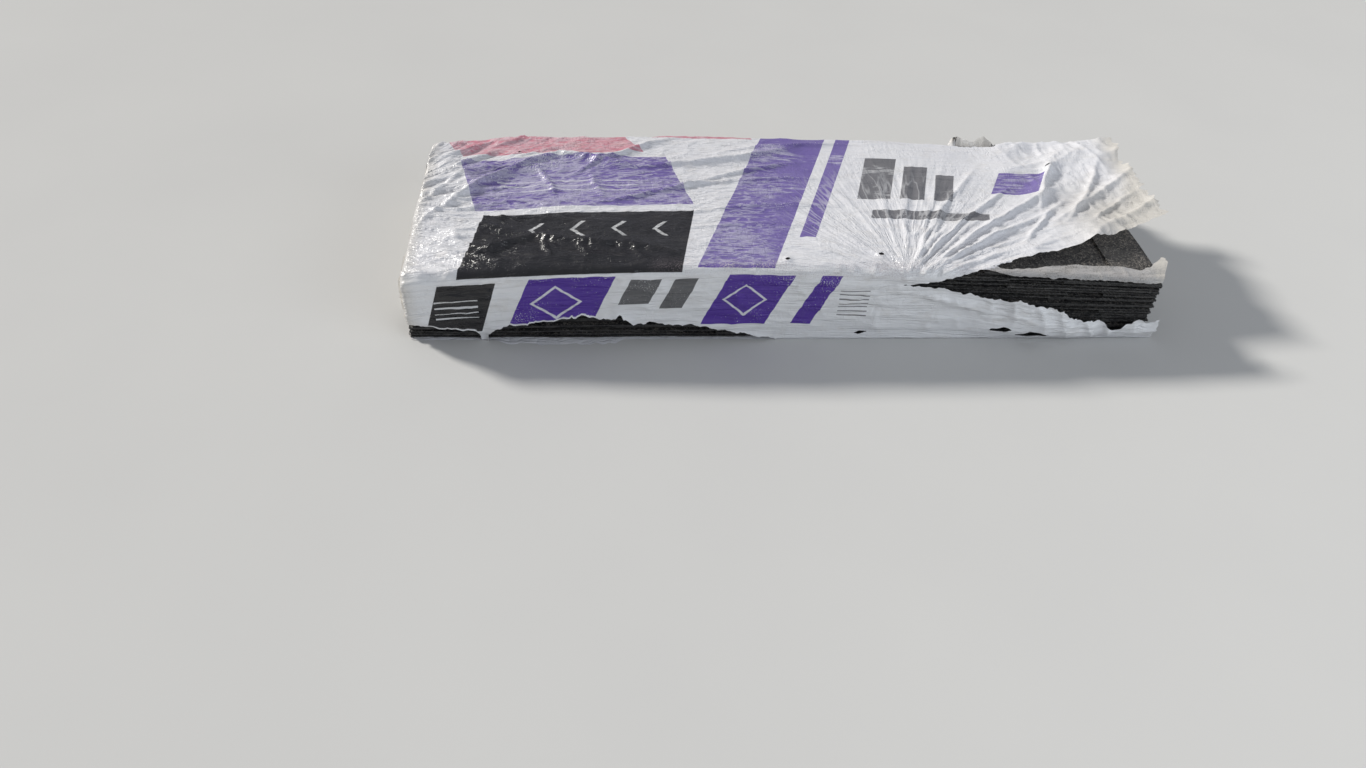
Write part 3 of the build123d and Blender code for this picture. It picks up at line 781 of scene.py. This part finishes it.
# each field: from and to along the sleeve, from and to round it, and how much its ends lean
PURPLE_FIELDS = [
    (-0.378, -0.268, -0.086, -0.006, 0.42), (-0.122, -0.036, -0.086, -0.006, 0.42),
    (-0.001, 0.026, -0.086, -0.006, 0.42), (-0.425, -0.125, 0.146, 0.278, -0.25),
    (-0.130, -0.030, 0.002, 0.360, 0.36), (0.012, 0.034, 0.070, 0.360, 0.36),
    (0.315, 0.385, 0.195, 0.250, 0.5)]
CHARCOAL_FIELDS = [(-0.484, -0.410, -0.086, -0.010, 0.30), (-0.436, -0.150, -0.003, 0.132, 0.18)]
GREY_BARS = [
    (0.110, 0.158, 0.170, 0.285, 0.30), (0.172, 0.208, 0.170, 0.265, 0.30),
    (0.222, 0.250, 0.170, 0.245, 0.30), (-0.232, -0.192, -0.052, -0.012, 0.42),
    (-0.178, -0.148, -0.060, -0.012, 0.42), (0.120, 0.290, 0.120, 0.140, 0.30)]
RED_FIELDS = [(-0.455, -0.190, 0.292, 0.352, -0.6), (-0.175, -0.022, 0.334, 0.352, -0.6)]
printed = Finish("printed_film", "UV")
px = printed.add("ShaderNodeSeparateXYZ", inputs={0: printed.coordinate}, out=0)
pv = printed.add("ShaderNodeSeparateXYZ", inputs={0: printed.coordinate}, out=1)


def slanted(left_x, right_x, low_v, high_v, lean):
    """A field of print with level sides and slanted ends, placed by its lower corners."""
    along = px - (pv - low_v) * lean
    return along.between(left_x, right_x) * pv.between(low_v, high_v)


def chevrons(left_x, right_x, middle_v, half_v, pitch, width, point):
    """A row of roof-shaped marks."""
    along = px + 2 - abs(pv - middle_v) * point
    step = along.math("MODULO", pitch)
    return step.below(width) * px.between(left_x, right_x) * abs(pv - middle_v).below(half_v)


def diamond(middle_x, middle_v, half_x, half_v, line):
    """The outline of a diamond."""
    far = abs(px - middle_x) / half_x + abs(pv - middle_v) / half_v
    return far.between(1 - line, 1, 0.02)


def stripes(left_x, right_x, low_v, high_v, pitch, width):
    """Thin level lines."""
    step = (pv + 1).math("MODULO", pitch)
    return step.below(width) * px.between(left_x, right_x) * pv.between(low_v, high_v)


def joined(*masks):
    total = masks[0]
    for mask in masks[1:]:
        total = total.most(mask)
    return total


purple = joined(*[slanted(*field) for field in PURPLE_FIELDS])
charcoal = joined(*[slanted(*field) for field in CHARCOAL_FIELDS])
bars = joined(*[slanted(*field) for field in GREY_BARS])
red = joined(*[slanted(*field) for field in RED_FIELDS])
white_marks = joined(
    chevrons(-0.370, -0.160, 0.090, 0.017, 0.055, 0.006, 0.9),
    diamond(-0.312, -0.046, 0.034, 0.026, 0.15), diamond(-0.066, -0.046, 0.030, 0.026, 0.15),
    stripes(-0.468, -0.412, -0.066, -0.030, 0.009, 0.0024),
    stripes(-0.400, -0.200, 0.185, 0.222, 0.0125, 0.0020))
thin_lines = stripes(0.060, 0.100, -0.074, -0.030, 0.0065, 0.0016)

rub_at, strip_grey_at, thin_painted_glow_at = printed.attribute("rub"), printed.attribute("dust"), printed.attribute("thin")
on_top = pv.above(0.003, 0.005)
on_front = pv.below(0.0, 0.004)
near_ridge = (1 - abs(pv - 0.004) / 0.018).most(0.0)


def ridged(where, detail, rough=0.5, warp=0.0, narrow=6):
    """Creases finer than the mesh: 1 on their crests."""
    away = abs(printed.noise(where, 1.0, detail, rough, warp) - 0.5)
    return (1 - away * narrow).most(0.0)


# small creases spread from the tear's tip, and from the left end
from_tip_x, from_tip_v = px - TIP[0], pv - TIP[1]
tip_turn = from_tip_v.math("ARCTAN2", from_tip_x)
tip_far = (from_tip_x * from_tip_x + from_tip_v * from_tip_v).math("SQRT")
tip_stretch = (tip_far + 0.01).math("LOGARITHM", 2.718)
round_tip = printed.add("ShaderNodeCombineXYZ", inputs={0: tip_turn * 15, 1: tip_stretch * 2.6, 2: 0.5})
tip_rays = ridged(round_tip, 2, narrow=7) * on_top * tip_far.below(0.30, 0.14) * px.above(-0.03, 0.10)
end_turn = (pv - 0.155).math("ARCTAN2", px + 0.66)
round_end = printed.add("ShaderNodeCombineXYZ", inputs={0: end_turn * 24, 1: px * 22, 2: 2.5})
end_rays = ridged(round_end, 2) * on_top * px.below(-0.20, 0.14)
# others climb over the left half, run level, cross them or crinkle the film in places
climbing = ridged(printed.stretched((36, 170, 1), -0.42, (3, 3, 0)), 3, 0.5, 0.6)
climbing = climbing * on_top * px.below(0.02, 0.10)
level_creases = ridged(printed.stretched((14, 150, 1), 0.0, (5, 5, 0)), 3, 0.5, 0.5)
crinkle = ridged(printed.stretched((75, 75, 1), 0.4, (9, 9, 0)), 4, 0.55, 0.8)
crossing = ridged(printed.stretched((120, 30, 1), 0.3, (12, 12, 0)), 3, 0.5, 0.8)
in_places = printed.noise(printed.stretched((9, 14, 1), 0.4), 1.0, 3, 0.5).above(0.50, 0.10)
# the shingles' edges and their granules show through the film
LAYER_PITCH = 0.0042
unsteady = printed.noise(printed.stretched((5, 60, 1)), 1.0, 2, 0.5) * 6
layers = (pv * (2 * math.pi / LAYER_PITCH) + unsteady).math("SINE")
grain_print = printed.noise(printed.coordinate, 700.0, 2, 0.5)
fine_height = (
    tip_rays * 0.0007 + end_rays * 0.0010 + climbing * 0.0007 + level_creases * (0.0003 + on_front * 0.0004)
    + crinkle * (0.00012 + in_places * 0.00026) + crossing * in_places * on_top * 0.00030
    + layers * on_front * in_places * 0.00016 + grain_print * 0.00009)
film_bump = printed.bump(fine_height)

# how much of the print is left
speckle = printed.noise(printed.coordinate, 560.0, 3, 0.7)
patches = printed.noise(printed.coordinate, 13.0, 5, 0.62)
kept_at_tears = 1 - printed.attribute("frayed").above(0.35, 0.2)
worn = speckle * 1.3 + (patches - 0.5) * 0.55 + rub_at * 0.15 + crinkle * 0.06 + near_ridge * 0.15
worn_dark = speckle * 1.2 + (patches - 0.5) * 0.35 + rub_at * near_ridge * 0.12
cracked = climbing.most(tip_rays).most(end_rays).most(level_creases * in_places).above(0.74, 0.25)
ink = (1 - worn.above(0.99, 0.07) * 0.85) * kept_at_tears * (1 - cracked * on_top * 0.42)
dark_ink = (1 - worn_dark.above(0.93, 0.07) * 0.7) * kept_at_tears
film_colour = printed.mix(purple * ink, WHITE, PURPLE)
film_colour = printed.mix(red * ink * 0.85, film_colour, RED)
film_colour = printed.mix(bars * ink * 0.9, film_colour, GREY_INK)
film_colour = printed.mix(charcoal * dark_ink, film_colour, CHARCOAL)
film_colour = printed.mix(white_marks * 0.85 * ink, film_colour, WHITE)
film_colour = printed.mix(thin_lines * 0.8, film_colour, GREY_INK)

# paler over the top in patches, dirt, scuffs along the front ridge, a painted cream glow where thin film
# would be lit through and on the warmly lit left end, and the strip greyer with dark specks
# the top made paler in patches, less so on the dark inks
paler_on_top = on_top * (0.08 + patches * 0.24) * (1 - charcoal * 0.90 - bars * 0.5)
film_colour = printed.mix(paler_on_top, film_colour, TOP_PALE)
dirt = printed.noise(printed.stretched((30, 55, 1)), 1.0, 5, 0.65).above(0.60, 0.10) * 0.16
dirt = dirt * (1 - joined(charcoal, purple, bars) * 0.85)
film_colour = printed.mix(dirt, film_colour, DIRT)
scuffs = near_ridge * (speckle + patches * 0.5).above(0.80, 0.06) * px.above(-0.16, 0.05)
film_colour = printed.mix(scuffs * 0.5, film_colour, RUBBED)
# painted glow in cream on the thin, lit parts
film_colour = printed.mix(thin_painted_glow_at * 0.6, film_colour, PAINTED_GLOW_CREAM)
streaks = printed.noise(printed.stretched((34, 80, 1)), 1.0, 4, 0.6)
# the strip greyer, with dark specks
film_colour = printed.mix((strip_grey_at * (0.50 + streaks * 0.50)).least(1.0), film_colour, STRIP_GREY)
grit = strip_grey_at * (speckle + streaks * 0.5).above(0.84, 0.06)
film_colour = printed.mix(grit * 0.6, film_colour, BAND_GRIT)
film_rough = 0.17 + patches * 0.15 + strip_grey_at * 0.45
printed.set(Base_Color=film_colour, Roughness=film_rough, Normal=film_bump, Specular_IOR_Level=0.62)
glossy = Shade(printed.tree, printed.principled.outputs[0])
through = printed.add("ShaderNodeBsdfTranslucent", inputs={"Color": film_colour, "Normal": film_bump})
both = printed.add("ShaderNodeMixShader", inputs={"Fac": 0.10 + thin_painted_glow_at * 0.30, 1: glossy, 2: through})
printed.tree.links.new(both.socket, printed.end.inputs["Surface"])
film.data.materials.append(printed.material)

# The studio: a pale matt floor, a distant soft key from behind, a wide cool fill from the front right,
# and a camera that looks down on the bundle's front.
bpy.ops.object.select_all(action="DESELECT")
bpy.ops.mesh.primitive_plane_add(size=30, location=(0, 0, -0.0004))
floor = bpy.context.object
floor.name = "floor"
floor_finish = Finish("pale_floor")
mottle = floor_finish.noise(floor_finish.coordinate, 3.0, 4, 0.5)
floor_colour = floor_finish.mix(mottle, (0.56, 0.56, 0.56, 1), (0.60, 0.60, 0.595, 1))
floor_finish.set(Base_Color=floor_colour, Roughness=0.9, Specular_IOR_Level=0.15)
floor.data.materials.append(floor_finish.material)

key_data = bpy.data.lights.new("key", "SUN")
key_data.energy = 4.0
key_data.angle = math.radians(8.5)
key_data.color = (1.0, 0.965, 0.90)
key = bpy.data.objects.new("key", key_data)
bpy.context.scene.collection.objects.link(key)
key.rotation_euler = (math.radians(60.7), 0, math.radians(-121.3))

fill_data = bpy.data.lights.new("fill", "AREA")
fill_data.shape = "RECTANGLE"
fill_data.size = 3.6
fill_data.size_y = 2.6
fill_data.energy = 74
fill_data.color = (0.87, 0.935, 1.0)
fill = bpy.data.objects.new("fill", fill_data)
bpy.context.scene.collection.objects.link(fill)
fill.location = (3.3, -2.7, 1.7)
aim_x, aim_y, aim_z = -3.3, 2.7, -1.65  # from the lamp to the middle of the bundle
tilt = math.atan2(math.hypot(aim_x, aim_y), -aim_z)
fill.rotation_euler = (tilt, 0, math.atan2(aim_y, aim_x) - math.pi / 2)

world = bpy.data.worlds.new("studio")
bpy.context.scene.world = world
world.use_nodes = True
sky = world.node_tree.nodes["Background"]
sky.inputs["Color"].default_value = (0.92, 0.95, 1.0, 1)
sky.inputs["Strength"].default_value = 0.34

view = bpy.data.cameras.new("view")
view.lens = 25.985
view.sensor_width = 36
camera = bpy.data.objects.new("view", view)
bpy.context.scene.collection.objects.link(camera)
camera.location = (-0.247, -1.1926, 0.8569)
camera.rotation_euler = (math.radians(47.453), math.radians(-2.684), math.radians(-3.538))
bpy.context.scene.camera = camera
bpy.context.scene.view_settings.view_transform = "Standard"
